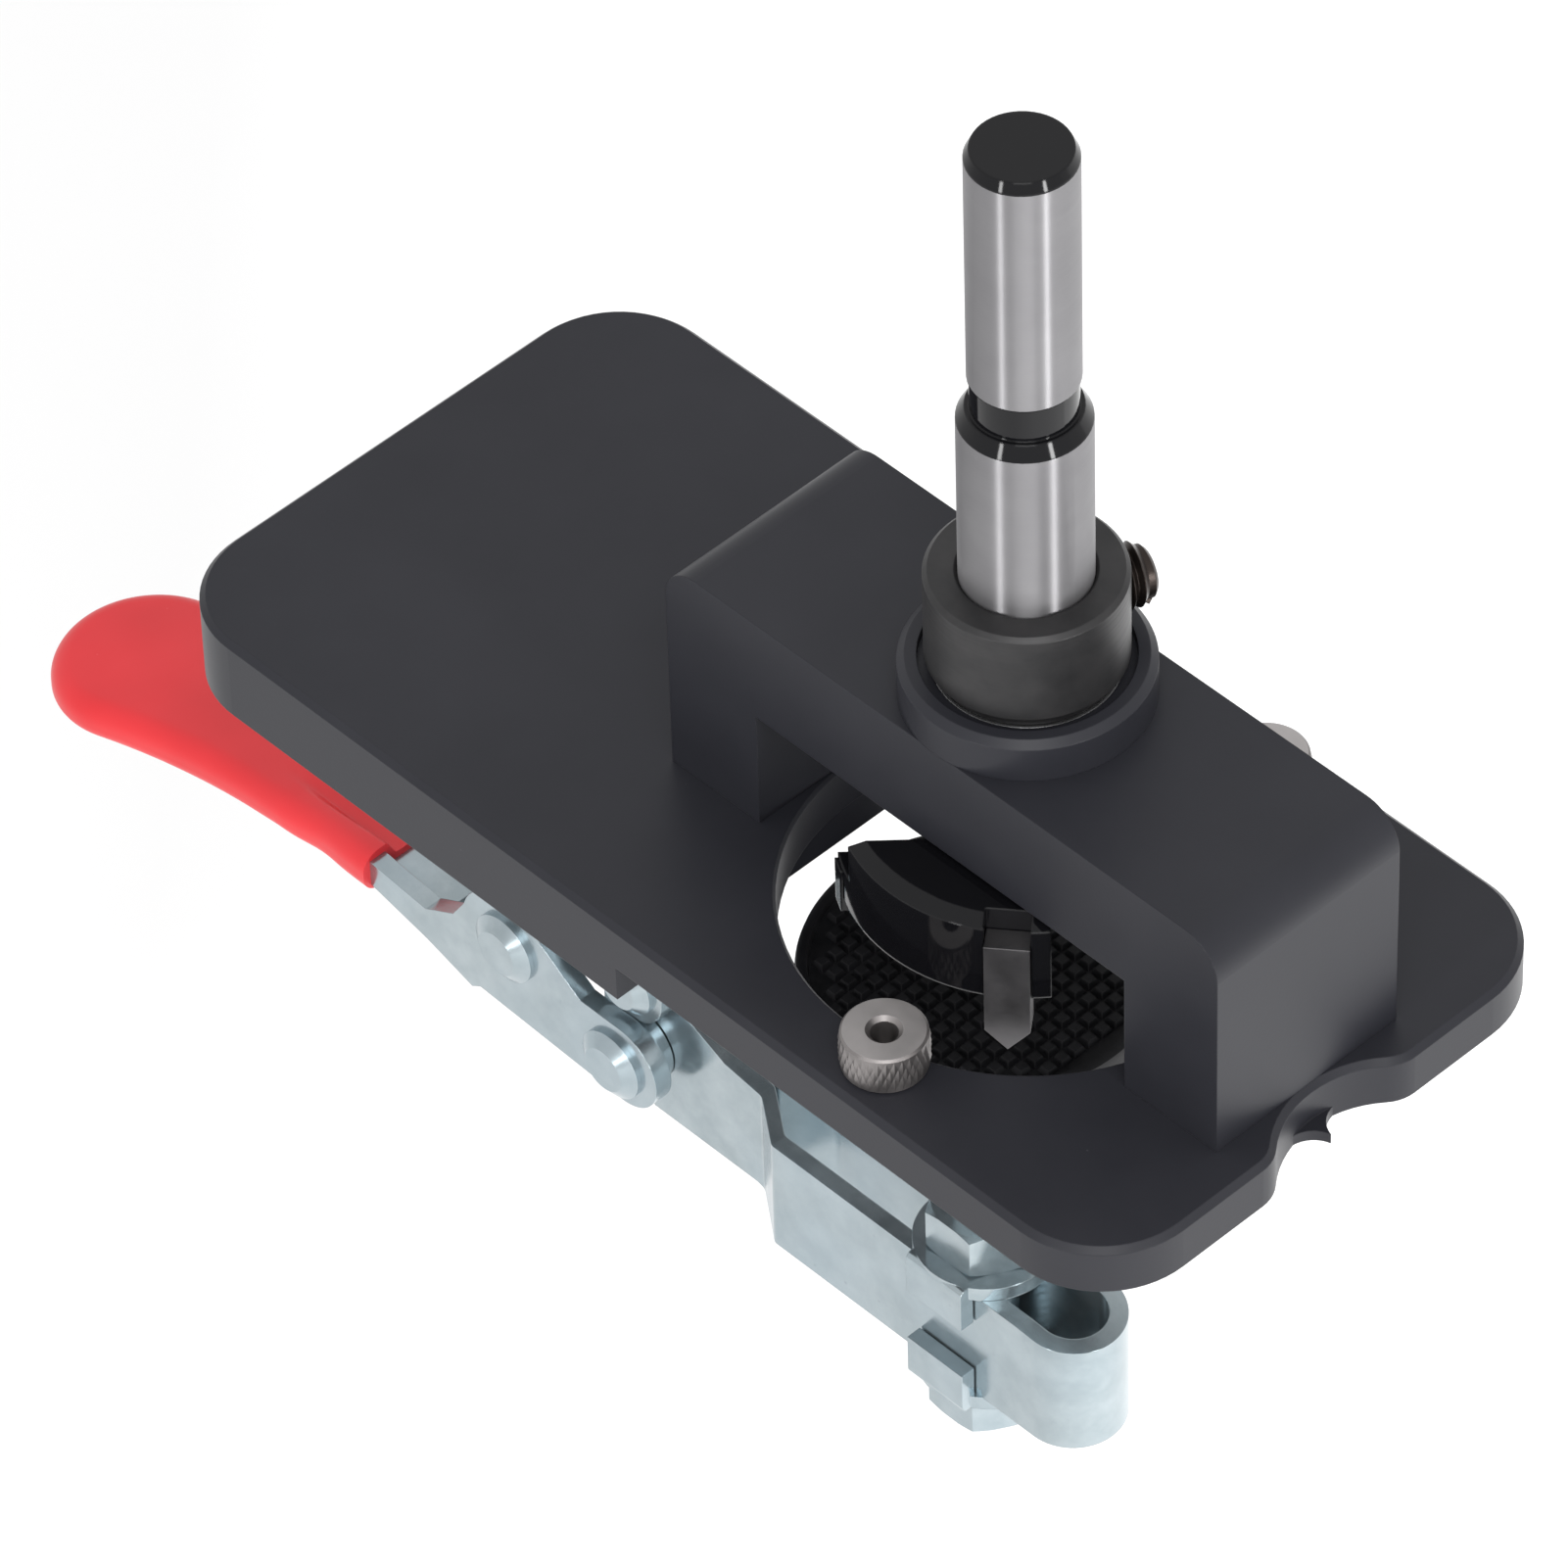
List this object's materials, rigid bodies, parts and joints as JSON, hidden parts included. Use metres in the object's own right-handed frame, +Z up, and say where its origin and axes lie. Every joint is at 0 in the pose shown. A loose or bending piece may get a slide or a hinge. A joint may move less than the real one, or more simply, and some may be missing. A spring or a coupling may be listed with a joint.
{
  "type": "hinge drilling jig",
  "caption": "Flat jig for boring concealed-hinge cups: cutter with stop collar in a bridge over an open base, pilot drill bushes, and a toggle clamp with rubber pad below.",
  "frame": {"origin": "on the drill axis, on the flat face that lies on the door", "axes": "+X along the base to its notched end, +Y across the base, +Z up along the bit's shank"},
  "size_m": [0.171, 0.059, 0.1637],
  "materials": {
    "black_anodised": "satin black anodised aluminium",
    "black_oxide": "black oxide on steel",
    "ground_steel": "ground steel, head blackened",
    "carbide": "ground carbide",
    "bush_steel": "hardened steel, knurled",
    "zinc": "bright zinc, slightly blue",
    "black_rubber": "matte moulded rubber with a waffle face",
    "red_vinyl": "dipped soft vinyl, satin"
  },
  "bodies": {
    "frame": {"base_plate": "black_anodised", "bridge": "black_anodised", "bridge_screws": "black_oxide", "guide_bush": "black_anodised", "bearing_lower": "bush_steel", "bearing_upper": "bush_steel", "pilot_bush_near": "bush_steel", "pilot_bush_far": "bush_steel", "clamp_base_near": "zinc", "clamp_base_far": "zinc", "clamp_base_screws": "zinc", "arm_rivet": "zinc", "base_rivet": "zinc"},
    "sleeve": {"guide_sleeve": "bush_steel"},
    "collar": {"stop_collar": "black_oxide", "collar_set_screw": "black_oxide"},
    "bit": {"boring_bit": "ground_steel", "main_cutters": "carbide", "scoring_spurs": "carbide"},
    "arm": {"clamp_arm": "zinc"},
    "lever": {"clamp_lever": "zinc", "handle_grip": "red_vinyl", "lever_rivet": "zinc", "link_rivet": "zinc", "lever_spacers": "zinc", "link_spacers": "zinc"},
    "link": {"toggle_link": "zinc"},
    "pad_carrier": {"nut_upper": "zinc", "nut_lower": "zinc", "saddle_upper": "zinc", "saddle_lower": "zinc"},
    "pad": {"spindle": "zinc", "pad_disc": "zinc", "rubber_pad": "black_rubber"}
  },
  "joints": [
    {"name": "arm_swing", "type": "hinge", "parent": "frame", "child": "arm", "pos_m": [-0.0501, 0, -0.041], "axis": [0, 1, 0], "range_deg": [0, 60]},
    {"name": "lever_swing", "type": "hinge", "parent": "arm", "child": "lever", "pos_m": [-0.0503, 0, -0.0505], "axis": [0, 1, 0], "range_deg": [-91, 0]},
    {"name": "link_swing", "type": "hinge", "parent": "lever", "child": "link", "pos_m": [-0.0648, 0, -0.0453], "axis": [0, 1, 0], "range_deg": [0, 84]},
    {"name": "pad_shift", "type": "slide", "parent": "arm", "child": "pad_carrier", "axis": [1, 0, 0], "range_m": [-0.014, 0.009]},
    {"name": "pad_height", "type": "slide", "parent": "pad_carrier", "child": "pad", "axis": [0, 0, 1], "range_m": [-0.01, 0.002]},
    {"name": "spindle_turn", "type": "hinge", "parent": "frame", "child": "sleeve", "pos_m": [0, 0, 0.03], "axis": [0, 0, 1], "continuous": true},
    {"name": "collar_set", "type": "slide", "parent": "sleeve", "child": "collar", "axis": [0, 0, 1], "range_m": [0, 0.017]},
    {"name": "bit_feed", "type": "slide", "parent": "sleeve", "child": "bit", "axis": [0, 0, 1], "range_m": [-0.0085, 0.0005]}
  ],
  "couplings": [
    {"joint": "lever_swing", "follows": "arm_swing", "ratio": -1.5034},
    {"joint": "link_swing", "follows": "arm_swing", "ratio": 1.383}
  ]
}
